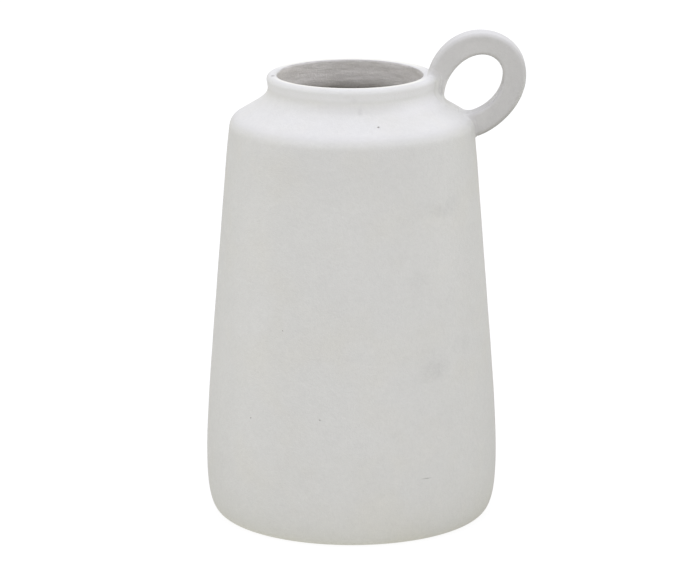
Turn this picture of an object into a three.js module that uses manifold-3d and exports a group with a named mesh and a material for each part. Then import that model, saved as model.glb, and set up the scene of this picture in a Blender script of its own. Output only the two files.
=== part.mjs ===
// A matt ceramic flower vase: a tapering vessel with a sloping shoulder and a short neck, and a finger ring
// that joins its lip to its shoulder.
// Millimetres, +Z up. The origin is the middle of the flat base, on the vessel's axis.
// The ring stands in the XZ plane, towards +X.

import * as THREE from "three";
import { mergeVertices } from "three/addons/utils/BufferGeometryUtils.js";
import Module from "manifold-3d";

const wasm = await Module();
wasm.setup();

// Outside of the vessel, from the base up. A corner is the point where two straight stretches would meet, and
// an ease is how far from its corner a round begins.
const BASE_RADIUS = 66.3; // flat circle that the vase stands on
const HEEL_RUN = 6.2; // pull of the heel's curve along the base
const HEEL_RISE = 20.3; // pull of the heel's curve below the widest circle
const BELLY_RADIUS = 75; // widest circle
const BELLY_HEIGHT = 29.6;
const BELLY_PULL = 13.8; // pull of the belly's curve above the widest circle
const TAPER_RADIUS = 71.9; // where the wall turns straight
const TAPER_HEIGHT = 86.9;
const TAPER_PULL = 24.6; // pull of the belly's curve below the straight wall
const SHOULDER_RADIUS = 62.5; // corner of the wall and the shoulder's slope
const SHOULDER_HEIGHT = 206;
const SHOULDER_WALL_EASE = 13;
const SHOULDER_SLOPE_EASE = 3.2;
const SLOPE_RISE = 12.5; // from the shoulder's corner up to the neck's
const NECK_RADIUS = 42.1; // corner of the slope and the neck
const NECK_SLOPE_EASE = 10.5;
const NECK_RISE_EASE = 4.5;
const NECK_LENGTH = 8.7; // from the neck's corner up to the lip's widest circle
const LIP_RADIUS = 43.3; // widest circle of the lip
const LIP_CROWN = 2.5; // from the lip's widest circle up to its crest
const LIP_OUTER_ROUND = 3.6; // from the lip's widest circle in to its crest

// Inside of the vessel
const WALL = 5; // thickness of the casting, floor, wall and shoulder alike
const MOUTH_RADIUS = 37.2; // clear opening of the neck
const MOUTH_EDGE_DROP = 1.4; // height of the round inside the lip
const INNER_HEEL_RUN = 18; // how far the inside's heel runs in over the floor
const INNER_SHOULDER_EASE = 9; // how far the round under the shoulder reaches from its corner
const INNER_NECK_EASE = 4; // how far the round below the neck reaches from its corner

// Finger ring, a flat band round an inclined oval hole
const RING_LENGTH = 58; // long axis of the outline
const RING_WIDTH = 47.7; // short axis of the outline
const RING_LEAN = 55; // degrees from the horizontal to the outline's long axis
const RING_SWELL = 0.6; // how far the outline swells out of its ellipse on three sides
const RING_SWELL_AT = 71; // degrees from the long axis to the first of the three
const HOLE_LENGTH = 34.4;
const HOLE_WIDTH = 25.2;
const HOLE_LEAN = 48.5;
const RING_DEPTH = 12; // thickness of the band from front to back
const RING_EDGE = 2.5; // round of the band's four edges
const RING_OUT = 20.2; // from the neck's corner out to the ring's centre
const RING_UP = 18.5; // from the shoulder's corner up to the ring's centre

// Joints between the pieces
const SLIP_THICKNESS = 1.2; // bed of joining slip
const SLIP_BEAD = 0.8; // how far the slip stands out round the limb that it holds
const JOINT_GAP = 0.3; // left between pieces that lie against each other

// Facets
const VESSEL_FACETS = 64;
const HEEL_STEPS = 9;
const BELLY_STEPS = 5;
const CORNER_STEPS = 6;
const LIP_STEPS = 5;
const INSIDE_STEPS = 5;
const RING_STEPS = 30; // in each half of an oval
const EDGE_STEPS = 3;

// A point at a distance from one point in the direction of another.
function towards(from, to, distance) {
  const step = to.clone().sub(from).setLength(Math.abs(distance));
  return distance < 0 ? from.clone().sub(step) : from.clone().add(step);
}

function shifted(point, right, up) {
  return new THREE.Vector2(point.x + right, point.y + up);
}

// A corner rounded by a curve that begins and ends at the given distances from it.
function easedCorner(before, corner, after, easeBefore, easeAfter) {
  const start = towards(corner, before, easeBefore);
  const end = towards(corner, after, easeAfter);
  return new THREE.QuadraticBezierCurve(start, corner, end);
}

// A corner rounded alike on both of its sides.
function evenRound(before, corner, after, ease) {
  return easedCorner(before, corner, after, ease, ease);
}

// The profile's turning points, as radius and height.
const foot = new THREE.Vector2(BASE_RADIUS, 0);
const belly = new THREE.Vector2(BELLY_RADIUS, BELLY_HEIGHT);
const taper = new THREE.Vector2(TAPER_RADIUS, TAPER_HEIGHT);
const shoulder = new THREE.Vector2(SHOULDER_RADIUS, SHOULDER_HEIGHT);
const neck = new THREE.Vector2(NECK_RADIUS, shoulder.y + SLOPE_RISE);
const lip = new THREE.Vector2(LIP_RADIUS, neck.y + NECK_LENGTH);
const crest = new THREE.Vector2(lip.x - LIP_OUTER_ROUND, lip.y + LIP_CROWN);

// The curved stretches of the outside, from the base to the lip's crest, each with its number of steps.
// Straight stretches join them.
function outsideStretches() {
  const heelOut = shifted(foot, HEEL_RUN, 0);
  const bellyBelow = shifted(belly, 0, -HEEL_RISE);
  const bellyAbove = shifted(belly, 0, BELLY_PULL);
  const taperBelow = towards(taper, shoulder, -TAPER_PULL);
  const heelCurve = new THREE.CubicBezierCurve(foot, heelOut, bellyBelow, belly);
  const bellyCurve = new THREE.CubicBezierCurve(belly, bellyAbove, taperBelow, taper);
  const shoulderCurve = easedCorner(taper, shoulder, neck, SHOULDER_WALL_EASE, SHOULDER_SLOPE_EASE);
  const neckCurve = easedCorner(shoulder, neck, lip, NECK_SLOPE_EASE, NECK_RISE_EASE);
  const lipCurve = new THREE.EllipseCurve(crest.x, lip.y, LIP_OUTER_ROUND, LIP_CROWN, 0, Math.PI / 2);
  return [
    { curve: heelCurve, steps: HEEL_STEPS },
    { curve: bellyCurve, steps: BELLY_STEPS },
    { curve: shoulderCurve, steps: CORNER_STEPS },
    { curve: neckCurve, steps: CORNER_STEPS },
    { curve: lipCurve, steps: LIP_STEPS },
  ];
}

// Points along the stretches, moved off them by a distance. A distance above zero lies outside the vessel.
function pointsBeside(stretches, distance) {
  const points = [];
  for (const { curve, steps } of stretches) {
    for (let i = 0; i <= steps; i += 1) {
      const point = curve.getPoint(i / steps);
      const along = curve.getTangent(i / steps);
      const outward = new THREE.Vector2(along.y, -along.x);
      points.push(point.addScaledVector(outward, distance));
    }
  }
  return points;
}

// Where the wall's line and the shoulder's line cross, both moved in by the wall's thickness.
function innerShoulderCorner() {
  const wallUp = shoulder.clone().sub(taper).normalize();
  const slopeIn = neck.clone().sub(shoulder).normalize();
  const halfTurn = wallUp.angleTo(slopeIn) / 2;
  const inward = slopeIn.clone().sub(wallUp).normalize();
  return shoulder.clone().addScaledVector(inward, WALL / Math.cos(halfTurn));
}

// The inside's profile, from the middle of the floor up to the round inside the lip.
function insidePoints() {
  const floor = new THREE.Vector2(0, WALL);
  const heelCorner = new THREE.Vector2(BELLY_RADIUS - WALL, WALL);
  const heelStart = shifted(heelCorner, -INNER_HEEL_RUN, 0);
  const heelEnd = shifted(belly, -WALL, 0);
  const heel = new THREE.QuadraticBezierCurve(heelStart, heelCorner, heelEnd);
  const bellyStretch = outsideStretches()[1];
  const wall = pointsBeside([bellyStretch], -WALL);
  const slopeCorner = innerShoulderCorner();
  const slope = neck.clone().sub(shoulder);
  const neckCorner = new THREE.Vector2(MOUTH_RADIUS, slopeCorner.y);
  neckCorner.y += ((MOUTH_RADIUS - slopeCorner.x) * slope.y) / slope.x;
  const edgeStart = new THREE.Vector2(MOUTH_RADIUS, crest.y - MOUTH_EDGE_DROP);
  const shoulderRound = evenRound(wall.at(-1), slopeCorner, neckCorner, INNER_SHOULDER_EASE);
  const neckRound = evenRound(slopeCorner, neckCorner, edgeStart, INNER_NECK_EASE);
  const rounds = [...shoulderRound.getPoints(INSIDE_STEPS), ...neckRound.getPoints(INSIDE_STEPS)];
  return [floor, ...heel.getPoints(INSIDE_STEPS), ...wall.slice(1), ...rounds];
}

// The round from the inside of the neck up to the lip's crest.
function mouthEdgePoints() {
  const middle = new THREE.Vector2(crest.x, crest.y - MOUTH_EDGE_DROP);
  const inwardRadius = crest.x - MOUTH_RADIUS;
  const turns = [Math.PI, Math.PI / 2, true];
  const edge = new THREE.EllipseCurve(middle.x, middle.y, inwardRadius, MOUTH_EDGE_DROP, ...turns);
  return edge.getPoints(LIP_STEPS);
}

// A profile turned round the vessel's axis. The profile starts and ends on the axis.
function turned(profile) {
  return new THREE.LatheGeometry(profile, VESSEL_FACETS).rotateX(Math.PI / 2);
}

function vesselGeometry() {
  const outside = pointsBeside(outsideStretches(), 0);
  const inside = [...insidePoints(), ...mouthEdgePoints().slice(0, -1)];
  return turned([new THREE.Vector2(0, 0), ...outside, ...inside.reverse()]);
}

// The vessel's outer form without its hollow, grown by a distance all over.
function grownVessel(distance) {
  const bottom = new THREE.Vector2(0, -distance);
  const top = new THREE.Vector2(0, crest.y + distance);
  return solidOf(turned([bottom, ...pointsBeside(outsideStretches(), distance), top]));
}

// Everything above and below the mouth, out to the lip's crest.
function mouthColumn() {
  const top = crest.y + RING_LENGTH;
  const corners = [new THREE.Vector2(0, 0), new THREE.Vector2(crest.x, 0)];
  return solidOf(turned([...corners, new THREE.Vector2(crest.x, top), new THREE.Vector2(0, top)]));
}

const ringCentre = new THREE.Vector2(NECK_RADIUS + RING_OUT, SHOULDER_HEIGHT + RING_UP);

// The ring's outline: an ellipse that swells a little on three sides, as a hand-formed loop does.
class RingOutline extends THREE.Curve {
  constructor(margin) {
    super();
    this.halfLength = RING_LENGTH / 2 + margin;
    this.halfWidth = RING_WIDTH / 2 + margin;
  }

  getPoint(share) {
    const turn = 2 * Math.PI * share;
    const outward = new THREE.Vector2(this.halfWidth * Math.cos(turn), this.halfLength * Math.sin(turn));
    const swell = RING_SWELL * Math.cos(3 * (turn - THREE.MathUtils.degToRad(RING_SWELL_AT)));
    const point = new THREE.Vector2(this.halfLength * Math.cos(turn), this.halfWidth * Math.sin(turn));
    point.addScaledVector(outward.normalize(), swell);
    return point.rotateAround(new THREE.Vector2(0, 0), THREE.MathUtils.degToRad(RING_LEAN)).add(ringCentre);
  }
}

// The whole ring before it is fitted to the vessel, with its outline and its depth grown by a margin.
function ringSolid(margin) {
  const outline = new THREE.Shape(new RingOutline(margin).getPoints(2 * RING_STEPS).slice(0, -1));
  const holeLean = THREE.MathUtils.degToRad(HOLE_LEAN);
  const { x, y } = ringCentre;
  const hole = new THREE.Path();
  hole.absellipse(x, y, HOLE_LENGTH / 2, HOLE_WIDTH / 2, 0, 2 * Math.PI, true, holeLean);
  outline.holes.push(hole);
  const depth = RING_DEPTH + 2 * margin;
  const band = new THREE.ExtrudeGeometry(outline, {
    depth: depth - 2 * RING_EDGE,
    curveSegments: RING_STEPS,
    bevelThickness: RING_EDGE,
    bevelSize: RING_EDGE,
    bevelOffset: -RING_EDGE,
    bevelSegments: EDGE_STEPS,
  });
  band.translate(0, 0, RING_EDGE - depth / 2);
  return solidOf(band.rotateX(Math.PI / 2));
}

// All space on one side of the ring's middle: the neck's side is -1 and the wall's side is 1.
function ringSide(side) {
  const reach = 2 * RING_LENGTH;
  const slopeAngle = Math.atan2(SLOPE_RISE, SHOULDER_RADIUS - NECK_RADIUS);
  const block = new THREE.BoxGeometry(reach, reach, 2 * reach);
  block.translate((side * (reach + JOINT_GAP)) / 2, 0, 0);
  block.rotateY(slopeAngle);
  block.translate(ringCentre.x, 0, ringCentre.y);
  return solidOf(block);
}

// The bed of slip between the vessel and the ring, on one side of the ring's middle. It stops at the lip's
// crest.
function slipBed(side) {
  const ringFootprint = ringSolid(SLIP_BEAD).intersect(ringSide(side));
  const bed = grownVessel(JOINT_GAP + SLIP_THICKNESS).subtract(grownVessel(JOINT_GAP));
  return geometryOf(bed.intersect(ringFootprint).subtract(mouthColumn()));
}

// The ring with both seats cut to the vessel's form, clear of the slip. Its upper end stops at the lip's
// crest.
function fittedRing() {
  const seats = grownVessel(JOINT_GAP + SLIP_THICKNESS + JOINT_GAP);
  return geometryOf(ringSolid(0).subtract(seats).subtract(mouthColumn()));
}

function solidOf(geometry) {
  const bare = geometry.clone();
  bare.deleteAttribute("normal");
  bare.deleteAttribute("uv");
  const merged = mergeVertices(bare, 1e-4);
  const vertProperties = merged.attributes.position.array;
  const triVerts = new Uint32Array(merged.index.array);
  return new wasm.Manifold(new wasm.Mesh({ numProp: 3, vertProperties, triVerts }));
}

function geometryOf(solid) {
  const { vertProperties, triVerts } = solid.getMesh();
  const geometry = new THREE.BufferGeometry();
  geometry.setAttribute("position", new THREE.BufferAttribute(vertProperties, 3));
  geometry.setIndex(new THREE.BufferAttribute(triVerts, 1));
  geometry.computeVertexNormals();
  return geometry;
}

// Fired clay under a dry, sandy white coat.
function coatedClay() {
  return new THREE.MeshStandardMaterial({ color: "#deddda", roughness: 0.92, metalness: 0 });
}

// Joining slip, a shade greyer than the coat.
function firedSlip() {
  return new THREE.MeshStandardMaterial({ color: "#d9d7d4", roughness: 0.95, metalness: 0 });
}

function piece(name, geometry, material) {
  const mesh = new THREE.Mesh(geometry, material);
  mesh.name = name;
  return mesh;
}

const vase = new THREE.Group();
vase.add(piece("vase_body", vesselGeometry(), coatedClay()));
vase.add(piece("ring_handle", fittedRing(), coatedClay()));
vase.add(piece("upper_luting_slip", slipBed(-1), firedSlip()));
vase.add(piece("lower_luting_slip", slipBed(1), firedSlip()));

export default vase;
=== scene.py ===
# A matt white ceramic vase with a finger ring at its mouth, dressed for the photograph's view.
# The CAD's frame: +Z up, the ring towards +X, the origin in the middle of the base.
# Shapes are worked out in millimetres, and meshes are made in metres.
import math

import bpy
import numpy as np
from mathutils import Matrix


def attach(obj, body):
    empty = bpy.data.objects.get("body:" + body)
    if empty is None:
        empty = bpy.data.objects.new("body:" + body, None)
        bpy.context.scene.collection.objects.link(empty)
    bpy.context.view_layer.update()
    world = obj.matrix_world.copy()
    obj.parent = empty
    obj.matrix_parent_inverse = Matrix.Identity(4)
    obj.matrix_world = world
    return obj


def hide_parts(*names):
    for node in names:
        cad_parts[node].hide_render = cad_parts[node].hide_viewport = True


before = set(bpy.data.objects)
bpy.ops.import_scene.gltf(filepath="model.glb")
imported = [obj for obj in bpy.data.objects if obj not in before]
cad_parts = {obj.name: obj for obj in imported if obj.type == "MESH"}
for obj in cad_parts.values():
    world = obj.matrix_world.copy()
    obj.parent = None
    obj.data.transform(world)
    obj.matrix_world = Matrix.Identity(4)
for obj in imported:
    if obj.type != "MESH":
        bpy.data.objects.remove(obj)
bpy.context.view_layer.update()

MM = 0.001

# Outside of the vessel, as in the CAD apart from the shoulder, which is rubbed softer
BASE_RADIUS = 66.3
HEEL_RUN = 6.2
HEEL_RISE = 20.3
BELLY_RADIUS = 75
BELLY_HEIGHT = 29.6
BELLY_PULL = 13.8
TAPER_RADIUS = 71.9
TAPER_HEIGHT = 86.9
TAPER_PULL = 24.6
SHOULDER_RADIUS = 62.5
SHOULDER_HEIGHT = 206
SHOULDER_DRAW = 0.6  # the wall's top is drawn in this far along the slope
SHOULDER_BEND = 14  # half the height over which it bends
SHOULDER_WALL_EASE = 4
SHOULDER_SLOPE_EASE = 3.2
SLOPE_RISE = 12.5
NECK_RADIUS = 42.1
NECK_SLOPE_EASE = 10.5
NECK_RISE_EASE = 4.5
NECK_LENGTH = 8.7
LIP_RADIUS = 43.3
LIP_CROWN = 2.5
LIP_OUTER_ROUND = 3.6

# Inside of the vessel
WALL = 5
MOUTH_RADIUS = 37.2
MOUTH_EDGE_DROP = 1.4
INNER_HEEL_RUN = 18
INNER_SHOULDER_EASE = 9
INNER_NECK_EASE = 4
MOUTH_SHIFT = -0.9  # the casting's mouth lies this far off the axis, along X
MOUTH_SHIFT_FROM = 200  # height where the inside begins to lean over to it
MOUTH_SHIFT_OVER = (-4, 2)  # stretch of the profile, measured from the lip's crest, over which it sets in

# Finger ring: two ovals, each an ellipse that swells a little on three sides
OUTLINE = dict(x=62.38, z=224.37, long=29.04, short=23.85, lean=55.3, swell=0.6, swell_at=71.3)
HOLE = dict(x=61.99, z=224.59, long=17.49, short=12.55, lean=48.46, swell=0.19, swell_at=52.9)
RING_DEPTH = 12
RING_EDGE = 2.5
HOLE_EDGE = 1.6
RING_END = 39.2  # the upper end stops here, on the lip's crest
RING_END_ROUND = 1.5
RING_SINK = 1.2  # how far the ring's ends go into the clay of the vessel

# Fillets of slip where the ring meets the vessel, and the stretches over which their widths change
ROOT_FILLET = 4.0  # on top of the lip, between the ring's faces
FACE_FILLET = 3.8  # on the ring's front face
BACK_FILLET = 1.8  # and on its back face
HOLE_FILLET = 2.2  # in the hole's upper corner
MOUTH_FILLET = 0.6  # where the upper fillet runs out towards the mouth
LOWER_HOLE_FILLET = 3.2  # in the hole's lower corner
LOWER_FILLET = 1.5  # under the ring
LOWER_FACE_FILLET = 3.0  # on both faces there
HOLE_FADE = (0.8, 4.0)  # distances from the hole
FACE_FADE = (4.0, 7.0)  # distances from the ring's middle plane
MOUTH_FADE = (37.6, 40.4)  # distances from the vessel's axis
FILLET_DIP = 0.01  # a fillet's edges go this far under the skins that they meet
FILLET_SHORT = 0.1  # and stop this much before the blend ends
FILLET_SKIRT = 1.4  # its back lies this deep in the clay
NECK_SIDE = -1  # the two sides of the ring's middle, with a fillet on each
WALL_SIDE = 1

# Painted shade on the ring: how dark its coat is painted there, as shares of the painted shade on its flat
# faces
PAINTED_SHADE_TOP = 0.32  # round the outside
PAINTED_SHADE_ROOT = 0.7  # and where it comes up from the lip
PAINTED_SHADE_ROOT_FADE = (46, 62)  # along X
PAINTED_SHADE_OUTSIDE = (3.5, 6)  # distances from the hole over which the outside begins
PAINTED_SHADE_HOLE = 1.45  # on the hole's far wall, painted darker as shade
PAINTED_SHADE_HOLE_LOW = 0.85  # on its lower wall
PAINTED_SHADE_HOLE_RISE = (218, 230)  # heights between the two
PAINTED_SHADE_HOLE_FADE = (52, 66)  # along X
PAINTED_SHADE_HOLE_DEPTH = (0.4, 2.2)  # distances from the hole over which its wall ends
PAINTED_SHADE_HOLE_EDGE = 1.4  # on the rounded edges of these walls
PAINTED_SHADE_EDGE_FADE = (59, 63)  # along X
PAINTED_SHADE_EDGE_TURN = (0.1, 0.45)  # how far the surface faces Y, from wall to rounded edge
PAINTED_SHADE_FACE_TURN = (0.8, 0.99)  # and from there to the flat faces
PAINTED_SHADE_OFF_VESSEL = (-0.3, 2.0)  # distances from the vessel over which all this begins

# On the front of both joints painted shade is laid on as well
LOW_JOINT = (211, 215)  # heights over which the lower one ends
HIGH_JOINT = (227, 231)  # heights over which the upper one begins
PAINTED_SHADE_HIGH_JOINT = 0.7
PAINTED_SHADE_JOINT_TURN = (0.3, 0.75)
PAINTED_SHADE_JOINT_OFF_VESSEL = (0.0, 0.8)

# Unevenness of a casting finished by hand. Each wave round the vessel has a size, a count,
# where it starts in radians, and over how much height it turns by one radian
WAVES = (
    (0.05, 2, 0.7, 61),
    (0.04, 3, -1.1, -43),
    (0.04, 5, 0.0, 29),
)
WIPED_LINES = (0.02, 4.7, 2.0, 0.4)  # size, height per radian, and how far and from where they swing
LIP_WAVE = (0.05, 2, -0.9)  # size, count and start
UNEVEN_HEIGHTS = (3, 24)  # the foot stays even
UNEVEN_RADII = (2, 30)  # and so does the middle of the floor
LIP_HEIGHTS = (206, 226)

# Fineness of the meshes and of the tables of distances, and the boxes that they cover
TURN_STEPS = 288
OVAL_STEPS = 260
NET_STEP = 0.45
NET_BATCHES = 8
SETTLING_ROUNDS = 5
TABLE_STEP = 0.25
TABLE_BATCH = 20000  # so many points at a time
NEVER_ZERO = 1e-9  # the least that anything is divided by
RING_WINDOW = ((33, 190), (96, 260))
VESSEL_WINDOW = ((26, 186), (98, 260))
RING_BOX = ((36, -8, 198), (92, 8, 256))
UPPER_BOX = ((34, -16, 202), (66, 16, 242))
LOWER_BOX = ((52, -14, 192), (80, 14, 224))


def joined(*parts):
    return np.vstack([parts[0]] + [p[1:] for p in parts[1:]])


def bezier(points, steps):
    """Points on the Bezier curve of any number of control points."""
    t = np.linspace(0, 1, steps + 1)[:, None]
    rows = [np.array(p, float) for p in points]
    while len(rows) > 1:
        rows = [a + (b - a) * t for a, b in zip(rows, rows[1:])]
    return rows[0]


def arc(centre, radii, start, end, steps):
    t = np.radians(np.linspace(start, end, steps + 1))
    return np.c_[centre[0] + radii[0] * np.cos(t), centre[1] + radii[1] * np.sin(t)]


def point(x, y):
    return np.array([x, y], float)


def unit(v):
    return v / np.linalg.norm(v)


def eased(value, low, high):
    """0 below low, 1 above high, and a smooth rise between them."""
    t = np.clip((value - low) / (high - low), 0, 1)
    return t * t * (3 - 2 * t)


def between(a, b, share):
    return a + (b - a) * share


foot = point(BASE_RADIUS, 0)
belly = point(BELLY_RADIUS, BELLY_HEIGHT)
taper = point(TAPER_RADIUS, TAPER_HEIGHT)
shoulder = point(SHOULDER_RADIUS, SHOULDER_HEIGHT)
neck = point(NECK_RADIUS, SHOULDER_HEIGHT + SLOPE_RISE)
lip = point(LIP_RADIUS, neck[1] + NECK_LENGTH)
crest = lip + point(-LIP_OUTER_ROUND, LIP_CROWN)
wall_up = unit(shoulder - taper)
slope_in = unit(neck - shoulder)


def outside_profile():
    """The outside from the foot to the lip's crest, as radius and height.

    The last number of each stretch is its count of steps.
    """
    heel = bezier([foot, foot + point(HEEL_RUN, 0), belly - point(0, HEEL_RISE), belly], 36)
    round_belly = bezier([belly, belly + point(0, BELLY_PULL), taper - wall_up * TAPER_PULL, taper], 30)
    corner = shoulder + slope_in * SHOULDER_DRAW
    bend = shoulder - wall_up * SHOULDER_BEND
    corner_start = corner + unit(bend - corner) * SHOULDER_WALL_EASE
    corner_end = corner + slope_in * SHOULDER_SLOPE_EASE
    neck_start = neck - slope_in * NECK_SLOPE_EASE
    neck_end = neck + unit(lip - neck) * NECK_RISE_EASE
    return joined(
        heel,
        round_belly,
        bezier([taper, bend - wall_up * SHOULDER_BEND], 30),
        bezier([bend - wall_up * SHOULDER_BEND, bend, corner_start], 20),
        bezier([corner_start, corner, corner_end], 24),
        bezier([corner_end, neck_start], 18),
        bezier([neck_start, neck, neck_end], 22),
        bezier([neck_end, lip], 8),
        arc((crest[0], lip[1]), (LIP_OUTER_ROUND, LIP_CROWN), 0, 90, 16),
    )


def inside_profile():
    """The inside from the lip's crest down to the middle of the floor, in the same way."""
    inward = unit(slope_in - wall_up)
    half_turn = math.acos(float(wall_up @ slope_in)) / 2
    slope_corner = shoulder + inward * WALL / math.cos(half_turn)
    rise = (neck - shoulder)[1] / (neck - shoulder)[0]
    neck_corner = point(MOUTH_RADIUS, slope_corner[1] + (MOUTH_RADIUS - slope_corner[0]) * rise)
    edge_start = point(MOUTH_RADIUS, crest[1] - MOUTH_EDGE_DROP)
    to_slope = unit(slope_corner - neck_corner)
    wall_top = slope_corner - wall_up * INNER_SHOULDER_EASE
    slope_from = slope_corner - to_slope * INNER_SHOULDER_EASE
    slope_to = neck_corner + to_slope * INNER_NECK_EASE
    wall_foot = belly - point(WALL, 0)
    belly_in = wall_foot + point(0, BELLY_PULL)
    taper_in = taper + unit(point(wall_up[1], -wall_up[0])) * -WALL
    heel_corner = point(BELLY_RADIUS - WALL, WALL)
    heel_start = heel_corner - point(INNER_HEEL_RUN, 0)
    return joined(
        arc((crest[0], edge_start[1]), (crest[0] - MOUTH_RADIUS, MOUTH_EDGE_DROP), 90, 180, 10),
        bezier([edge_start, neck_corner + point(0, INNER_NECK_EASE)], 6),
        bezier([neck_corner + point(0, INNER_NECK_EASE), neck_corner, slope_to], 14),
        bezier([slope_to, slope_from], 8),
        bezier([slope_from, slope_corner, wall_top], 14),
        bezier([wall_top, taper_in], 24),
        bezier([taper_in, taper_in - wall_up * TAPER_PULL, belly_in, wall_foot], 20),
        bezier([wall_foot, heel_corner, heel_start], 20),
        bezier([heel_start, point(0, WALL)], 12),
    )


def handmade(points):
    """The points moved by the slight unevenness of a casting finished by hand. The base stays flat."""
    x, y, z = points.T
    turn = np.arctan2(y, x)
    radius = np.hypot(x, y)
    push = sum(size * np.sin(count * turn + start + z / rise) for size, count, start, rise in WAVES)
    size, rise, swing, start = WIPED_LINES
    push += size * np.sin(z / rise + swing * np.sin(turn + start))
    push *= eased(z, *UNEVEN_HEIGHTS)
    scale = 1 + push * eased(radius, *UNEVEN_RADII) / np.maximum(radius, 1)
    size, count, start = LIP_WAVE
    lift = size * np.sin(count * turn + start) * eased(z, *LIP_HEIGHTS)
    return np.c_[x * scale, y * scale, z + lift]


def new_piece(name, points, faces):
    """A smooth mesh from points in millimetres."""
    mesh = bpy.data.meshes.new(name)
    corners = (np.asarray(points) * MM).tolist()
    mesh.from_pydata(corners, [], [tuple(f) for f in np.asarray(faces, dtype=object)])
    mesh.update()
    mesh.polygons.foreach_set("use_smooth", [True] * len(mesh.polygons))
    piece = bpy.data.objects.new(name, mesh)
    bpy.context.scene.collection.objects.link(piece)
    return piece


def keep_on_points(piece, name, values):
    """A number for each point of the piece, which its material reads by name."""
    attribute = piece.data.attributes.new(name, "FLOAT", "POINT")
    attribute.data.foreach_set("value", values.astype(np.float32))


def turned_faces(rows):
    """Quads between rows of points round the axis, and a fan of triangles over the first and last row.

    The two points after the rows are the middles of these fans.
    """
    below = np.arange(TURN_STEPS)
    beside = (below + 1) % TURN_STEPS
    faces = []
    for row in range(rows - 1):
        low, high = row * TURN_STEPS, (row + 1) * TURN_STEPS
        faces += np.c_[low + below, low + beside, high + beside, high + below].tolist()
    last = (rows - 1) * TURN_STEPS
    base_middle = rows * TURN_STEPS
    floor_middle = base_middle + 1
    faces += [(base_middle, int(b), int(a)) for a, b in zip(below, beside)]
    faces += [(floor_middle, int(last + a), int(last + b)) for a, b in zip(below, beside)]
    return faces


def make_vessel():
    """The whole vessel as one closed skin, with the way past the lip's crest kept on each point."""
    turn = np.radians(np.arange(TURN_STEPS) * 360 / TURN_STEPS)
    outside = outside_profile()
    inside = inside_profile()
    rows = np.vstack([outside, inside[1:-1]])
    gaps = np.linalg.norm(np.diff(rows, axis=0), axis=1)
    past_crest = np.r_[0, np.cumsum(gaps)]
    past_crest -= past_crest[len(outside) - 1]
    radius, height = rows[:, :1], rows[:, 1:]
    lean = eased(past_crest, *MOUTH_SHIFT_OVER) * eased(rows[:, 1], MOUTH_SHIFT_FROM, crest[1])
    x = radius * np.cos(turn) + MOUTH_SHIFT * lean[:, None]
    y = radius * np.sin(turn)
    z = height + 0 * turn
    points = handmade(np.stack([x, y, z], -1).reshape(-1, 3))
    base_and_floor_middles = [[0, 0, 0], [0, 0, WALL]]
    vessel = new_piece("vessel_skin", np.vstack([points, base_and_floor_middles]), turned_faces(len(rows)))
    depth = np.r_[np.repeat(past_crest, TURN_STEPS), -past_crest.max(), past_crest.max()]
    keep_on_points(vessel, "past_crest", depth)
    return vessel


def polygon_distance(points, polygon):
    """Distances to a closed polygon, below zero inside it."""
    result = np.empty(len(points))
    edge = np.roll(polygon, -1, 0) - polygon
    length2 = (edge ** 2).sum(1)
    for first in range(0, len(points), TABLE_BATCH):
        p = points[first:first + TABLE_BATCH, None] - polygon
        t = np.clip((p * edge).sum(-1) / length2, 0, 1)
        distance = np.sqrt(((p - t[..., None] * edge) ** 2).sum(-1).min(1))
        # A point is inside when a level ray from it crosses the polygon an odd number of times
        above = p[..., 1] >= 0
        next_above = np.roll(above, -1, 1)
        side = p[..., 0] * edge[:, 1] - p[..., 1] * edge[:, 0]
        crossed = (above & ~next_above & (side < 0)) | (~above & next_above & (side > 0))
        inside = crossed.sum(1) % 2 == 1
        result[first:first + TABLE_BATCH] = np.where(inside, -distance, distance)
    return result


class DistanceTable:
    """Distances to a closed polygon, kept on a grid and read between its points."""

    def __init__(self, polygon, low, high, step=TABLE_STEP):
        self.low = np.array(low, float)
        self.step = step
        counts = np.ceil((np.array(high) - self.low) / step).astype(int) + 1
        grid = np.stack(np.meshgrid(*[np.arange(n) for n in counts], indexing="ij"), -1)
        flat = grid.reshape(-1, 2) * step + self.low
        self.values = polygon_distance(flat, polygon).reshape(counts)

    def __call__(self, a, b):
        place = (np.stack([a, b]) - self.low[:, None]) / self.step
        just_inside = 1.001
        limit = np.array(self.values.shape)[:, None] - just_inside
        place = np.clip(place, 0, limit)
        i, j = place.astype(int)
        u, v = place - [i, j]
        table = self.values
        left = table[i, j] * (1 - v) + table[i, j + 1] * v
        right = table[i + 1, j] * (1 - v) + table[i + 1, j + 1] * v
        return left * (1 - u) + right * u


def oval(shape):
    """The closed outline of an oval in the ring's plane."""
    t = np.linspace(0, 2 * math.pi, OVAL_STEPS, endpoint=False)
    along = shape["long"] * np.cos(t)
    across = shape["short"] * np.sin(t)
    outward = np.c_[shape["short"] * np.cos(t), shape["long"] * np.sin(t)]
    outward /= np.linalg.norm(outward, axis=1)[:, None]
    swell = shape["swell"] * np.cos(3 * (t - math.radians(shape["swell_at"])))
    flat = np.c_[along, across] + outward * swell[:, None]
    lean = math.radians(shape["lean"])
    turned = flat @ np.array([[math.cos(lean), math.sin(lean)], [-math.sin(lean), math.cos(lean)]])
    return turned + [shape["x"], shape["z"]]


def joined_smoothly(a, b, width):
    """The lesser of two distances, with the corner between them filled over a width."""
    near = np.maximum(width - np.abs(a - b), 0) / np.maximum(width, NEVER_ZERO)
    return np.minimum(a, b) - near * near * width / 4


def band_distance(flat, y, edge):
    """Distance to a slab with the outline that flat gives, and with rounded edges."""
    out = flat + edge
    deep = np.abs(y) - RING_DEPTH / 2 + edge
    within = np.minimum(np.maximum(out, deep), 0)
    return within + np.hypot(np.maximum(out, 0), np.maximum(deep, 0)) - edge


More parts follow.
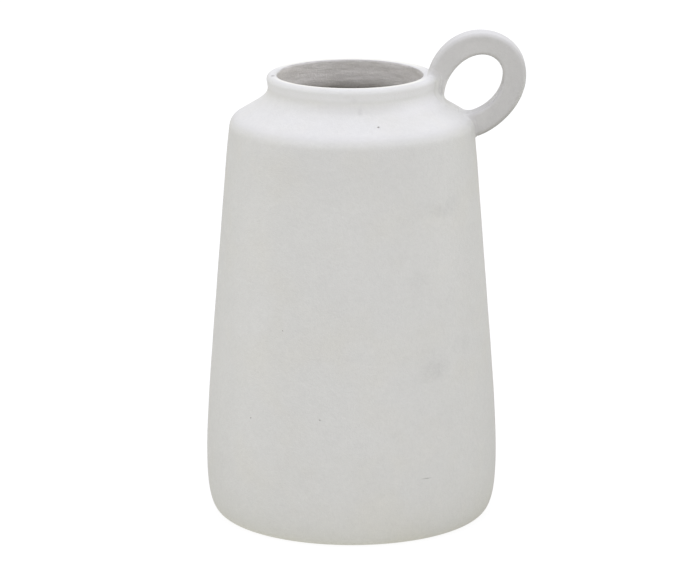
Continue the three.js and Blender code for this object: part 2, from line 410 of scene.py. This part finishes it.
outline_table = DistanceTable(oval(OUTLINE), *RING_WINDOW)
hole_table = DistanceTable(oval(HOLE), *RING_WINDOW)
vessel_polygon = np.vstack([outside_profile(), inside_profile()[1:]])
vessel_table = DistanceTable(vessel_polygon, *VESSEL_WINDOW)
filled_polygon = np.vstack([outside_profile(), [(0, crest[1]), (0, 0)]])
filled_table = DistanceTable(filled_polygon, *VESSEL_WINDOW)


def vessel_distance(p):
    return vessel_table(np.hypot(p[:, 0], p[:, 1]), p[:, 2])


def filled_vessel_distance(p):
    """As vessel_distance, with the hollow counted as clay."""
    return filled_table(np.hypot(p[:, 0], p[:, 1]), p[:, 2])


def whole_ring_distance(p):
    """The ring as a closed band, cut only where its upper end stops on the lip."""
    x, y, z = p.T
    outer = band_distance(outline_table(x, z), y, RING_EDGE)
    hole = band_distance(-hole_table(x, z), y, HOLE_EDGE)
    band = np.maximum(outer, hole)
    return -joined_smoothly(-band, x - RING_END, RING_END_ROUND)


def ring_distance(p):
    """The ring, cut off a little below the vessel's surface."""
    return np.maximum(whole_ring_distance(p), -(filled_vessel_distance(p) + RING_SINK))


def fillet_width(p, side):
    """How wide the fillet's blend is at each point."""
    off_hole = eased(hole_table(p[:, 0], p[:, 2]), *HOLE_FADE)
    to_face = eased(np.abs(p[:, 1]), *FACE_FADE)
    if side == WALL_SIDE:
        width = between(LOWER_FILLET, LOWER_FACE_FILLET, to_face)
        return between(width, LOWER_HOLE_FILLET, 1 - off_hole)
    width = between(HOLE_FILLET, ROOT_FILLET, off_hole)
    width = between(width, np.where(p[:, 1] < 0, FACE_FILLET, BACK_FILLET), to_face)
    off_mouth = eased(np.hypot(p[:, 0], p[:, 1]), *MOUTH_FADE)
    return between(MOUTH_FILLET, width, off_mouth)


def fillet_distance(p, side):
    """The slip between ring and vessel, on the neck's or the wall's side of the ring's middle."""
    ring = whole_ring_distance(p) + FILLET_DIP
    vessel = vessel_distance(p) + FILLET_DIP
    width = fillet_width(p, side)
    blend = joined_smoothly(ring, vessel, width)
    reach = np.abs(ring - vessel) - width + FILLET_SHORT
    skirt = -(np.minimum(ring, vessel) + FILLET_SKIRT)
    lean = math.atan2(SLOPE_RISE, SHOULDER_RADIUS - NECK_RADIUS)
    across = (p[:, 0] - OUTLINE["x"]) * math.cos(lean) - (p[:, 2] - OUTLINE["z"]) * math.sin(lean)
    return np.maximum.reduce([blend, reach, skirt, -side * across])


def settled(points, field):
    """The points moved onto the field's zero surface, in a few short steps down its slope."""
    probe = 0.04
    least_slope2 = 0.2
    longest_move = 0.3 * NET_STEP
    for _ in range(SETTLING_ROUNDS):
        value = field(points)
        rises = [field(points + d) - field(points - d) for d in np.eye(3) * probe]
        slope = np.stack(rises, -1) / (2 * probe)
        slope2 = np.maximum((slope ** 2).sum(1), least_slope2)
        move = -(value / slope2)[:, None] * slope
        length = np.linalg.norm(move, axis=1)[:, None]
        points = points + move * np.minimum(1, longest_move / np.maximum(length, NEVER_ZERO))
    return points


def net_of(field, low, high):
    """A closed mesh of the field's zero surface: one point in each grid cell that it passes through."""
    counts = [int(math.ceil((h - l) / NET_STEP)) + 1 for l, h in zip(low, high)]
    axes = [l + np.arange(n) * NET_STEP for l, n in zip(low, counts)]
    grid = np.stack(np.meshgrid(*axes, indexing="ij"), -1).reshape(-1, 3)
    batches = np.array_split(grid, NET_BATCHES)
    values = np.concatenate([field(batch) for batch in batches]).reshape(counts)
    inside = values < 0
    sums = np.zeros([n - 1 for n in counts] + [3])
    hits = np.zeros([n - 1 for n in counts])
    quads = []
    for axis in range(3):
        near = [slice(None)] * 3
        far = [slice(None)] * 3
        near[axis], far[axis] = slice(0, -1), slice(1, None)
        # Grid edges along this axis that the surface crosses, and the places where it does
        a, b = values[tuple(near)], values[tuple(far)]
        cells = np.argwhere((a < 0) != (b < 0))
        cells = cells[((cells > 0) | (np.arange(3) == axis)).all(1)]
        share = a[tuple(cells.T)] / (a[tuple(cells.T)] - b[tuple(cells.T)])
        place = np.array(low) + cells * NET_STEP
        place[:, axis] += share * NET_STEP
        # The four cells round each of these edges take its place into their mean and share a quad
        one, two = [d for d in range(3) if d != axis]
        around = []
        for back_one, back_two in ((0, 0), (1, 0), (1, 1), (0, 1)):
            cell = cells.copy()
            cell[:, one] -= back_one
            cell[:, two] -= back_two
            np.add.at(sums, tuple(cell.T), place)
            np.add.at(hits, tuple(cell.T), 1)
            around.append(np.ravel_multi_index(tuple(cell.T), hits.shape))
        quad = np.stack(around, -1)
        flip = inside[tuple(near)][tuple(cells.T)] != (axis == 1)
        quad[flip] = quad[flip][:, ::-1]
        quads.append(quad)
    quads = np.vstack(quads)
    used = np.flatnonzero(hits.ravel())
    number = np.full(hits.size, -1)
    number[used] = np.arange(len(used))
    points = sums.reshape(-1, 3)[used] / hits.ravel()[used][:, None]
    return settled(points, field), number[quads]


def point_normals(points, quads):
    """The normal at each point, as a mean over the quads round it."""
    corners = points[quads]
    crossed = np.cross(corners[:, 2] - corners[:, 0], corners[:, 3] - corners[:, 1])
    normals = np.zeros_like(points)
    for k in range(4):
        np.add.at(normals, quads[:, k], crossed)
    return normals / np.maximum(np.linalg.norm(normals, axis=1), NEVER_ZERO)[:, None]


def painted_shade_coat(points, normals):
    """How much painted shade the ring's coat takes: on its flat faces, round its outside and in its hole.
    """
    x, y, z = points.T
    turned = np.abs(normals[:, 1])
    from_hole = hole_table(x, z)
    from_vessel = vessel_distance(points)
    joint = np.maximum(1 - eased(z, *LOW_JOINT), PAINTED_SHADE_HIGH_JOINT * eased(z, *HIGH_JOINT)) * (y < 0)
    face = np.maximum(eased(turned, *PAINTED_SHADE_FACE_TURN), joint * eased(turned, *PAINTED_SHADE_JOINT_TURN))
    away = eased(from_vessel, *PAINTED_SHADE_OFF_VESSEL)
    away = np.maximum(away, joint * eased(from_vessel, *PAINTED_SHADE_JOINT_OFF_VESSEL))
    outside = between(PAINTED_SHADE_TOP, PAINTED_SHADE_ROOT, 1 - eased(x, *PAINTED_SHADE_ROOT_FADE))
    outside = outside * eased(from_hole, *PAINTED_SHADE_OUTSIDE)
    flat = between(PAINTED_SHADE_HOLE_LOW, PAINTED_SHADE_HOLE, eased(z, *PAINTED_SHADE_HOLE_RISE)) * eased(x, *PAINTED_SHADE_HOLE_FADE)
    rounded = PAINTED_SHADE_HOLE_EDGE * eased(x, *PAINTED_SHADE_EDGE_FADE)
    hole_wall = between(flat, rounded, eased(turned, *PAINTED_SHADE_EDGE_TURN))
    hole_wall = hole_wall * (1 - eased(from_hole, *PAINTED_SHADE_HOLE_DEPTH))
    return away * between(outside + hole_wall, 1, face)


def make_net_piece(name, field, box):
    points, faces = net_of(field, *box)
    piece = new_piece(name, handmade(points), faces)
    # keeps the share of painted shade on each point
    keep_on_points(piece, "painted_shade_coat", painted_shade_coat(points, point_normals(points, faces)))
    return piece


vessel_skin = make_vessel()
ring_skin = make_net_piece("ring_skin", ring_distance, RING_BOX)
upper_fillet = make_net_piece("upper_slip_fillet", lambda p: fillet_distance(p, NECK_SIDE), UPPER_BOX)
lower_fillet = make_net_piece("lower_slip_fillet", lambda p: fillet_distance(p, WALL_SIDE), LOWER_BOX)


# Materials

def opaque(colour):
    return tuple(colour) + (1.0,)


def linear(*srgb):
    """Linear colour from sRGB values of 0 to 255, by the sRGB curve."""
    parts = [v / 255 for v in srgb]
    return opaque(v / 12.92 if v <= 0.04045 else ((v + 0.055) / 1.055) ** 2.4 for v in parts)


COLOUR_MIX_INPUTS = (0, 6, 7)  # the mix node's sockets for its share and two colours
COLOUR_MIX_OUTPUT = 2
NOISE_REACH = 0.25  # a noise stays about so near its middle of 0.5


class Recipe:
    """Short ways to add nodes to one material or world."""

    def __init__(self, owner):
        owner.use_nodes = True
        self.tree = owner.node_tree
        self.tree.nodes.clear()

    def node(self, kind, inputs=(), **settings):
        made = self.tree.nodes.new(kind)
        for name, value in settings.items():
            setattr(made, name, value)
        for name, value in dict(inputs).items():
            self.feed(made.inputs[name], value)
        return made

    def feed(self, socket, value):
        if isinstance(value, bpy.types.NodeSocket):
            self.tree.links.new(value, socket)
        else:
            socket.default_value = value

    def math(self, operation, a, b=0.0):
        return self.node("ShaderNodeMath", {0: a, 1: b}, operation=operation).outputs[0]

    def times(self, a, b):
        return self.math("MULTIPLY", a, b)

    def flipped(self, share):
        return self.math("SUBTRACT", 1.0, share)

    def ramp(self, value, low, high, to_low=0.0, to_high=1.0):
        """The value's way from low to high, smoothed, as a number between to_low and to_high."""
        inputs = {"Value": value, "From Min": low, "From Max": high, "To Min": to_low, "To Max": to_high}
        return self.node("ShaderNodeMapRange", inputs, interpolation_type="SMOOTHSTEP").outputs["Result"]

    def stretch(self, value, ends, amount):
        """The amount between two ends, fading to nothing over each of them."""
        rising, falling = ends
        return self.times(self.ramp(value, *rising), self.ramp(value, *falling, amount, 0))

    def place(self):
        return self.node("ShaderNodeTexCoord").outputs["Object"]

    def along(self, axis):
        return self.node("ShaderNodeSeparateXYZ", {0: self.place()}).outputs[axis]

    def kept(self, name):
        """The number kept under this name on each point of the mesh."""
        return self.node("ShaderNodeAttribute", attribute_name=name).outputs["Fac"]

    def stretched(self, vector, scale):
        return self.node("ShaderNodeVectorMath", {0: vector, 1: scale}, operation="MULTIPLY").outputs[0]

    def scaled(self, vector, amount):
        inputs = {0: vector, "Scale": amount}
        return self.node("ShaderNodeVectorMath", inputs, operation="SCALE").outputs[0]

    def noise(self, vector, size_mm, detail=2.0, roughness=0.5):
        inputs = {"Vector": vector, "Scale": 1 / (size_mm * MM), "Detail": detail, "Roughness": roughness}
        return self.node("ShaderNodeTexNoise", inputs).outputs["Fac"]

    def swing(self, value, amount):
        """Noise as a number that swings by about the amount either side of zero."""
        return self.times(self.math("SUBTRACT", value, 0.5), amount / NOISE_REACH)

    def length(self, vector):
        return self.node("ShaderNodeVectorMath", {0: vector}, operation="LENGTH").outputs["Value"]

    def mark(self, vector, centre_mm, reach_mm, softness=1.0):
        """1 in the middle of a mark and 0 beyond its reach. Softness is the share of it that fades."""
        centre = tuple(v * MM for v in centre_mm)
        away = self.node("ShaderNodeVectorMath", {0: vector, 1: centre}, operation="SUBTRACT").outputs[0]
        scale = tuple(1 / (v * MM) for v in reach_mm)
        return self.ramp(self.length(self.stretched(away, scale)), 1 - softness, 1, 1, 0)

    def mix(self, share, a, b, limited=True):
        made = self.node("ShaderNodeMix", data_type="RGBA", clamp_factor=limited)
        for number, value in zip(COLOUR_MIX_INPUTS, (share, a, b)):
            self.feed(made.inputs[number], value)
        return made.outputs[COLOUR_MIX_OUTPUT]

    def total(self, values):
        result = values[0]
        for value in values[1:]:
            result = self.math("ADD", result, value)
        return result


# Colours, sRGB
COAT = (225, 225, 221)
COAT_WARM = (225, 224, 217)
# painted shade of the coat
COAT_PAINTED_SHADE = (206, 205, 202)
# painted light of the coat
COAT_PAINTED_LIGHT = (241, 241, 241)
# painted highlight of the coat
COAT_PAINTED_HIGHLIGHT = (242, 242, 231)
RAW_CLAY = (222, 219, 214)
RAW_CLAY_DARK = (202, 199, 193)
PIT_COLOUR = (128, 124, 118)

# Marks on the coat: middle, reach along X, Y and Z in millimetres, and how much darker
SMUDGES = (
    ((50.5, -42.0, 170.8), (11, 11, 8), 0.065),  # a broad one below the shoulder, on the right
    ((43.8, -48.5, 169.5), (11, 11, 8), 0.06),
    ((36.5, -54.1, 171.0), (13, 12, 7), 0.04),
    ((30.0, -58.5, 166.0), (12, 10, 5), 0.03),
    ((33.5, -59.3, 134.8), (10, 10, 8), 0.05),  # one halfway down
    ((38.6, -60.3, 88.0), (11, 11, 8), 0.06),  # another broad one below it
    ((44.8, -56.2, 89.5), (11, 11, 8), 0.06),
    ((39.8, -59.0, 97.0), (12, 11, 10), 0.04),
    ((56.8, -42.0, 100.0), (7, 9, 9), 0.04),
    ((22.2, -70.5, 58.1), (6, 6, 6), 0.035),  # a small one near the belly
    ((1.0, -43.0, 224.3), (2.6, 3.0, 2.2), 0.14),  # a stroke down the front of the neck
    ((-2.5, -43.0, 225.6), (2.4, 3.0, 1.4), 0.12),
    ((4.3, -44.3, 218.6), (2.2, 2.4, 4.2), 0.15),
)
# How much brighter, or greyer below zero: mostly painted light, and painted shade below zero
PAINTED_LIGHT_AND_TONES = (
    ((44, -30, 211), (30, 30, 20), 0.05),  # painted light on the shoulder towards the ring
    ((38, -20, 225.5), (13, 15, 7), 0.095),  # painted light on the neck beside it
    ((46, -7, 225.5), (7, 8, 5), 0.08),  # and over the foot of the ring's face
    ((64, -7, 243), (20, 6, 7), 0.05),  # lighter on the upper part of the ring's face
    ((66, -8, 209), (8, 8, 10), 0.06),  # and over its lower joint
    ((-52, -50, 115), (30, 30, 170), 0.03),  # painted light on the left of the wall
    ((50, -48, 165), (26, 28, 80), 0.03),  # and on the upper right
    ((-78, 0, 190), (28, 80, 130), -0.045),  # painted shade on the left flank
    ((-78, 0, 30), (28, 80, 70), -0.03),  # and at its foot
    ((78, 0, 45), (28, 80, 110), -0.045),  # and low on the right flank
    ((41.3, -6, 229.0), (4, 5, 3.5), -0.08),  # painted shade where the ring leaves the lip
    ((45.5, -5, 219.5), (4.5, 5, 3.5), -0.05),  # and at the hole's lower corner
)
# How much of the pits' colour they show
PITS = (
    ((13.3, -50.7, 212.2), (0.8, 0.9, 0.5), 0.85),
    ((-39.8, -6.7, 229.7), (1.5, 3.2, 2.5), 0.42),
    ((-34.5, -61.0, 110.4), (0.5, 0.5, 0.5), 0.5),
    ((-50.9, -53.2, 62.9), (0.5, 0.5, 0.5), 0.5),
    ((-15.9, -71.6, 66.9), (0.5, 0.5, 0.5), 0.45),
)
SCRATCH = ((37.6, -64.7, 34.5), (3.9, 3.9, 0.22), 0.45)

# Texture of the coat. Each noise is a size in millimetres, its detail and its roughness
TONE_NOISES = (  # and by how much the tone swings
    ((42, 1), 0.006),
    ((9, 2), 0.012),
    ((2.4, 2, 0.6), 0.021),
    ((0.9, 1), 0.014),
)
GRAIN_NOISES = (  # and the height of the grain
    ((0.55, 2, 0.6), 0.10),
    ((1.6, 2, 0.5), 0.10),
    ((7.0, 1), 0.12),
)
SMUDGE_NOISE = (3.0, 3, 0.7)
SMUDGE_PATCHES = (0.3, 0.7, 0.3, 1.2)  # two values of the noise, and what a smudge is multiplied by there
WARM_NOISE = (26, 2)
WARM_PATCHES = (0.4, 0.8, 0, 0.7)  # in the same way, the share of the warm tone
PIT_SOFTNESS = 0.7
PIT_DEPTH = 0.30  # in millimetres
SPECK_SPACING = 7.5
SPECK_NOISE = (11, 0)
SPECK_SIZES = (0.52, 0.75, 0.0, 0.034)  # as shares of their spacing
SPECK_STRENGTH = 0.16
COAT_ROUGHNESS = 0.9
VESSEL_ROUGHNESS = 0.92
GLOSS = 0.06

# Stretches of the profile, past the lip's crest, in millimetres, and how much painted light, highlight or
# shade the coat takes on them
RIM_MIDDLE = 0.1  # middle of the painted highlight along the lip's crest
RIM_REACH = (0.5, 2.0)  # it fades over these distances from its middle
NECK_PAINTED_LIGHT = ((-10.5, -7.5), (-5.2, -3.2))  # painted light on the neck, in its hollow under the lip
NECK_PAINTED_LIGHT_AMOUNT = 0.6
NECK_PAINTED_LIGHT_SIDE = ((-21, -14), (-9, -4))  # the same painted light on the ring's side
NECK_PAINTED_LIGHT_SIDE_AMOUNT = 0.45
NECK_PAINTED_SHADOW = ((-17, -14), (-12, -10))  # painted shadow of the neck, above the shoulder at the front
NECK_PAINTED_SHADOW_AMOUNT = 0.22
CORNER_PAINTED_SHADE = ((-37.5, -34.0), (-33.0, -29.0))  # painted shade round the shoulder's corner
CORNER_PAINTED_SHADE_AMOUNT = 0.22
COAT_UPPER_WALL = ((-75.0, -50.0), (-40.0, -36.0))  # and a little painted shade on the wall, at the front
COAT_UPPER_WALL_AMOUNT = 0.14

# The edge between coat and bare clay, in the same measure
COAT_END = (1.65, 1.95)
LEFT_OVER = 1.1  # so much further inside at the left
RING_OVER = 0.55  # and at the ring's side
EDGE_NOISE = (2.5, 3, 0.6)
EDGE_SWING = 0.12

# Bare clay of the inside
RAW_STREAK_SCALE = (0.8, 0.8, 4.0)  # the streaks lie level
RAW_STREAK_NOISE = (9, 4, 0.65)
RAW_STREAK_RANGE = (0.3, 0.7)
RAW_STREAK_HEIGHT = 0.5  # in millimetres
RAW_SPECK_NOISE = (1.1, 2, 0.6)
RAW_SPECK_SWING = 0.05
RAW_GRAIN_NOISE = (1.2, 3, 0.6)
RAW_GRAIN_HEIGHT = 0.2
RAW_DEPTH = (3, 19, 0.955, 1.13)  # two depths, and how light it is at each: painted light, stronger deeper inside
RAW_EDGE_PAINTED_SHADE = (2.0, 4.0, -0.14, 0)  # beside the coat it is painted darker by so much, as shade

# Places across the vessel, in metres from its middle
RIM_SIDES = (0.006, 0.026)  # along Y, over which the painted highlight on the crest sets in
SIDES = (0.010, 0.036)  # along X, over which the sides of the neck begin
FRONT_END = (0.025, 0.055)  # over which the front of the wall ends
LEFT_END = (-0.0385, -0.0335)
RING_SIDE = (0.012, 0.037)
RAW_LEFT = (-0.036, -0.012, 0.15, 0)  # two places, and how much painted light the bare clay takes at each, on the left


def coat_nodes(recipe):
    """Dry sandy coat: its colour, with painted light and shade, and its grain as a height in metres."""
    place = recipe.place()
    shade = [recipe.swing(recipe.noise(place, *noise), amount) for noise, amount in TONE_NOISES]
    # patches of painted light and shade, and a few lighter tones
    for centre, reach, amount in PAINTED_LIGHT_AND_TONES:
        shade.append(recipe.times(recipe.mark(place, centre, reach), amount))
    patchy = recipe.ramp(recipe.noise(place, *SMUDGE_NOISE), *SMUDGE_PATCHES)
    for centre, reach, amount in SMUDGES:
        shade.append(recipe.times(recipe.times(recipe.mark(place, centre, reach), patchy), -amount))
    warm = recipe.ramp(recipe.noise(place, *WARM_NOISE), *WARM_PATCHES)
    base = recipe.mix(warm, linear(*COAT), linear(*COAT_WARM))
    # painted shade on the ring and its fillets, by the share kept on their points
    base = recipe.mix(recipe.kept("painted_shade_coat"), base, linear(*COAT_PAINTED_SHADE), limited=False)
    toned = recipe.scaled(base, recipe.math("ADD", recipe.total(shade), 1.0))
    pits = speck_nodes(recipe, place)
    for centre, reach, amount in PITS + (SCRATCH,):
        mark = recipe.times(recipe.mark(place, centre, reach, PIT_SOFTNESS), amount)
        pits = recipe.math("MAXIMUM", pits, mark)
    coloured = recipe.mix(pits, toned, linear(*PIT_COLOUR))
    grain = [recipe.times(recipe.noise(place, *noise), height * MM) for noise, height in GRAIN_NOISES]
    return coloured, recipe.total(grain + [recipe.times(pits, -PIT_DEPTH * MM)])


def speck_nodes(recipe, place):
    """Fine specks strewn over the coat, as a share of the pits' colour."""
    inputs = {"Vector": place, "Scale": 1 / (SPECK_SPACING * MM), "Randomness": 1.0}
    cells = recipe.node("ShaderNodeTexVoronoi", inputs)
    size = recipe.ramp(recipe.noise(place, *SPECK_NOISE), *SPECK_SIZES)
    return recipe.times(recipe.math("LESS_THAN", cells.outputs["Distance"], size), SPECK_STRENGTH)


def raw_nodes(recipe, past_crest):
    """Bare grey clay of the inside: its colour and its height in metres."""
    place = recipe.place()
    streaks = recipe.noise(recipe.stretched(place, RAW_STREAK_SCALE), *RAW_STREAK_NOISE)
    base = recipe.mix(recipe.ramp(streaks, *RAW_STREAK_RANGE), linear(*RAW_CLAY), linear(*RAW_CLAY_DARK))
    # painted light deeper inside and on the left, and painted shade just inside the coat's edge
    strength = recipe.total([
        recipe.swing(recipe.noise(place, *RAW_SPECK_NOISE), RAW_SPECK_SWING),
        recipe.ramp(past_crest, *RAW_DEPTH),
        recipe.ramp(past_crest, *RAW_EDGE_PAINTED_SHADE),
        recipe.ramp(recipe.along("X"), *RAW_LEFT),
    ])
    height = recipe.total([
        recipe.times(streaks, RAW_STREAK_HEIGHT * MM),
        recipe.times(recipe.noise(place, *RAW_GRAIN_NOISE), RAW_GRAIN_HEIGHT * MM),
    ])
    return recipe.scaled(base, strength), height


def coat_with_painted_light(recipe, colour, past_crest):
    """The coat's colour with painted light on the neck, a painted highlight on the rim, and painted shade
    below the neck at the front, round the shoulder's corner and on the upper wall.
    """
    x = recipe.along("X")
    from_middle = recipe.math("ABSOLUTE", x)
    to_middle = recipe.flipped(recipe.ramp(from_middle, *SIDES))
    front = recipe.flipped(recipe.ramp(from_middle, *FRONT_END))
    # painted light in the neck's hollow, more on the ring's side
    side_amount = recipe.stretch(past_crest, NECK_PAINTED_LIGHT_SIDE, NECK_PAINTED_LIGHT_SIDE_AMOUNT)
    painted_light = recipe.math(
        "MAXIMUM",
        recipe.stretch(past_crest, NECK_PAINTED_LIGHT, NECK_PAINTED_LIGHT_AMOUNT),
        recipe.times(side_amount, recipe.ramp(x, *SIDES)),
    )
    # painted highlight along the lip's crest, at the front and back
    off_crest = recipe.math("ABSOLUTE", recipe.math("SUBTRACT", past_crest, RIM_MIDDLE))
    off_sides = recipe.ramp(recipe.math("ABSOLUTE", recipe.along("Y")), *RIM_SIDES)
    rim = recipe.times(recipe.ramp(off_crest, *RIM_REACH, 1, 0), off_sides)
    # painted shade: the neck's shadow at the front, round the shoulder's corner and on the upper wall
    painted_shade = recipe.math(
        "MAXIMUM",
        recipe.times(recipe.stretch(past_crest, NECK_PAINTED_SHADOW, NECK_PAINTED_SHADOW_AMOUNT), to_middle),
        recipe.stretch(past_crest, CORNER_PAINTED_SHADE, CORNER_PAINTED_SHADE_AMOUNT),
    )
    upper_wall = recipe.stretch(past_crest, COAT_UPPER_WALL, COAT_UPPER_WALL_AMOUNT)
    painted_shade = recipe.math("MAXIMUM", painted_shade, recipe.times(upper_wall, front))
    for share, tone in ((painted_light, COAT_PAINTED_LIGHT), (rim, COAT_PAINTED_HIGHLIGHT), (painted_shade, COAT_PAINTED_SHADE)):
        colour = recipe.mix(share, colour, linear(*tone))
    return colour


def inside_share(recipe, past_crest):
    """0 where the coat lies and 1 on bare clay, with an uneven edge just inside the lip."""
    x = recipe.along("X")
    ragged = recipe.swing(recipe.noise(recipe.place(), *EDGE_NOISE), EDGE_SWING)
    further = recipe.total([
        recipe.ramp(x, *LEFT_END, LEFT_OVER, 0),
        recipe.ramp(x, *RING_SIDE, 0, RING_OVER),
    ])
    inside_by = recipe.math("SUBTRACT", recipe.math("ADD", past_crest, ragged), further)
    return recipe.ramp(inside_by, *COAT_END)


def finish_surface(recipe, colour, height, roughness):
    bump = recipe.node("ShaderNodeBump", {"Strength": 1.0, "Distance": 1.0, "Height": height})
    shader = recipe.node("ShaderNodeBsdfPrincipled", {"Base Color": colour, "Normal": bump.outputs[0]})
    shader.inputs["Roughness"].default_value = roughness
    shader.inputs["Specular IOR Level"].default_value = GLOSS
    recipe.node("ShaderNodeOutputMaterial", {"Surface": shader.outputs[0]})


def coated_material(name):
    material = bpy.data.materials.new(name)
    recipe = Recipe(material)
    finish_surface(recipe, *coat_nodes(recipe), COAT_ROUGHNESS)
    return material


def vessel_material():
    """White coat outside and over the lip, and bare clay inside."""
    material = bpy.data.materials.new("coated_and_bare_clay")
    recipe = Recipe(material)
    past_crest = recipe.kept("past_crest")
    coat_colour, coat_height = coat_nodes(recipe)
    # painted light, highlight and shade on the coat
    coat_colour = coat_with_painted_light(recipe, coat_colour, past_crest)
    raw_colour, raw_height = raw_nodes(recipe, past_crest)
    inside = inside_share(recipe, past_crest)
    height = recipe.total([
        recipe.times(raw_height, inside),
        recipe.times(coat_height, recipe.flipped(inside)),
    ])
    finish_surface(recipe, recipe.mix(inside, coat_colour, raw_colour), height, VESSEL_ROUGHNESS)
    return material


vessel_skin.data.materials.append(vessel_material())
ring_skin.data.materials.append(coated_material("ring_coat"))
slip_coat = coated_material("slip_coat")
upper_fillet.data.materials.append(slip_coat)
lower_fillet.data.materials.append(slip_coat)

for piece, node, slot in (
    (vessel_skin, "vase_body", "coated_clay"),
    (ring_skin, "ring_handle", "coated_clay"),
    (upper_fillet, "upper_luting_slip", "joining_slip"),
    (lower_fillet, "lower_luting_slip", "joining_slip"),
):
    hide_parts(node)
    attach(piece, "root")


# Floor, sky and camera. Lengths are in metres from here on

FLOOR_RADIUS = 7.0
FLOOR_CORNERS = 120
FLOOR_BOUNCE = (0.10, 0.098, 0.093)  # share of the light that the lit table sends back to the vase
FLOOR_GLOW = (1.0, 0.984, 0.895)  # colour of the table's own light
FLOOR_GLOW_FAR = 0.305
FLOOR_GLOW_SIDE = (0.0, 0.22)  # it weakens between these places along X, towards the ring's side
FLOOR_GLOW_LEFT_OVER = 0.87  # to this share
NEAR_GLOW = 0.115  # more round the vase's foot
NEAR_GLOW_REACH = (0.066, 0.14)  # distances from the axis over which it ends
NEAR_GLOW_SIDE = (0.0, 0.07)
NEAR_GLOW_LEFT_OVER = 0.15
FOOT_GLOW = 0.2  # and more in a narrow band at the very foot
FOOT_GLOW_REACH = (0.068, 0.082)
FLOOR_SHOWN = 0.18  # share that the camera sees, over a white base
FLOOR_WHITE = 0.86
SKY = (1.137, 1.137, 1.137)
SKY_TILT = (-0.06, -0.06, -0.10)  # red, green and blue: stronger and cooler from the front
SKY_HORIZON = (1.0, 0.995, 0.915)
SKY_ZENITH = (0.98, 0.98, 1.13)
WHITE = (1.0, 1.0, 1.0, 1.0)

CAMERA_PLACE = (-0.00077, -1.93838, 0.60895)
CAMERA_PITCH = 14.26  # degrees below the horizontal
CAMERA_LENS = 199.69
SENSOR_WIDTH = 36
CAMERA_END = 30


def seen_directly(recipe):
    """1 for rays that come from the camera, or by way of a mirror or glass."""
    rays = recipe.node("ShaderNodeLightPath").outputs
    seen = recipe.math("MAXIMUM", rays["Is Camera Ray"], rays["Is Glossy Ray"])
    return recipe.math("MAXIMUM", seen, rays["Is Transmission Ray"])


def show_by_ray(recipe, lighting, shown, output):
    """One shader lights the vase, and the other one is what the camera sees."""
    mixed = recipe.node("ShaderNodeMixShader", {0: seen_directly(recipe), 1: lighting, 2: shown})
    recipe.node(output, {"Surface": mixed.outputs[0]})


def make_floor():
    """A white table that lights the vase from below as the photograph's table does."""
    turn = np.radians(np.arange(FLOOR_CORNERS) * 360 / FLOOR_CORNERS)
    points = np.c_[np.cos(turn), np.sin(turn), 0 * turn] * FLOOR_RADIUS / MM
    floor = new_piece("floor", points, [tuple(range(FLOOR_CORNERS))])
    material = bpy.data.materials.new("floor_white")
    recipe = Recipe(material)
    from_axis = recipe.length(recipe.place())
    side = recipe.along("X")
    near = recipe.ramp(from_axis, *NEAR_GLOW_REACH, NEAR_GLOW, 0)
    strength = recipe.total([
        recipe.times(near, recipe.ramp(side, *NEAR_GLOW_SIDE, 1, NEAR_GLOW_LEFT_OVER)),
        recipe.ramp(side, *FLOOR_GLOW_SIDE, FLOOR_GLOW_FAR, FLOOR_GLOW_FAR * FLOOR_GLOW_LEFT_OVER),
        recipe.ramp(from_axis, *FOOT_GLOW_REACH, FOOT_GLOW, 0),
    ])
    bounce = recipe.node("ShaderNodeBsdfDiffuse", {"Color": opaque(FLOOR_BOUNCE)})
    glow = recipe.node("ShaderNodeEmission", {"Color": opaque(FLOOR_GLOW), "Strength": strength})
    table = recipe.node("ShaderNodeAddShader", {0: bounce.outputs[0], 1: glow.outputs[0]})
    shown = recipe.node("ShaderNodeBsdfDiffuse", {"Color": opaque([FLOOR_SHOWN] * 3)})
    white = recipe.node("ShaderNodeEmission", {"Color": WHITE, "Strength": FLOOR_WHITE})
    both = recipe.node("ShaderNodeAddShader", {0: shown.outputs[0], 1: white.outputs[0]})
    show_by_ray(recipe, table.outputs[0], both.outputs[0], "ShaderNodeOutputMaterial")
    floor.data.materials.append(material)


def make_sky():
    """Even light that is a little stronger and cooler from the front, and seen as white."""
    world = bpy.data.worlds.new("studio")
    bpy.context.scene.world = world
    recipe = Recipe(world)
    direction = recipe.node("ShaderNodeTexCoord").outputs["Generated"]
    parts = recipe.node("ShaderNodeSeparateXYZ", {0: direction}).outputs
    tilt = recipe.scaled(SKY_TILT, parts["Y"])
    level = recipe.node("ShaderNodeVectorMath", {0: tilt, 1: SKY}, operation="ADD").outputs[0]
    colour = recipe.mix(recipe.ramp(parts["Z"], 0, 1), opaque(SKY_HORIZON), opaque(SKY_ZENITH))
    colour = recipe.stretched(colour, level)
    light = recipe.node("ShaderNodeBackground", {"Color": colour, "Strength": 1.0})
    white = recipe.node("ShaderNodeBackground", {"Color": WHITE, "Strength": 1.0})
    show_by_ray(recipe, light.outputs[0], white.outputs[0], "ShaderNodeOutputWorld")


def make_camera():
    data = bpy.data.cameras.new("camera")
    data.lens = CAMERA_LENS
    data.sensor_width = SENSOR_WIDTH
    data.clip_end = CAMERA_END
    camera = bpy.data.objects.new("camera", data)
    camera.location = CAMERA_PLACE
    camera.rotation_euler = (math.radians(90 - CAMERA_PITCH), 0, 0)
    bpy.context.scene.collection.objects.link(camera)
    bpy.context.scene.camera = camera


make_floor()
make_sky()
make_camera()
bpy.context.scene.view_settings.view_transform = "Standard"
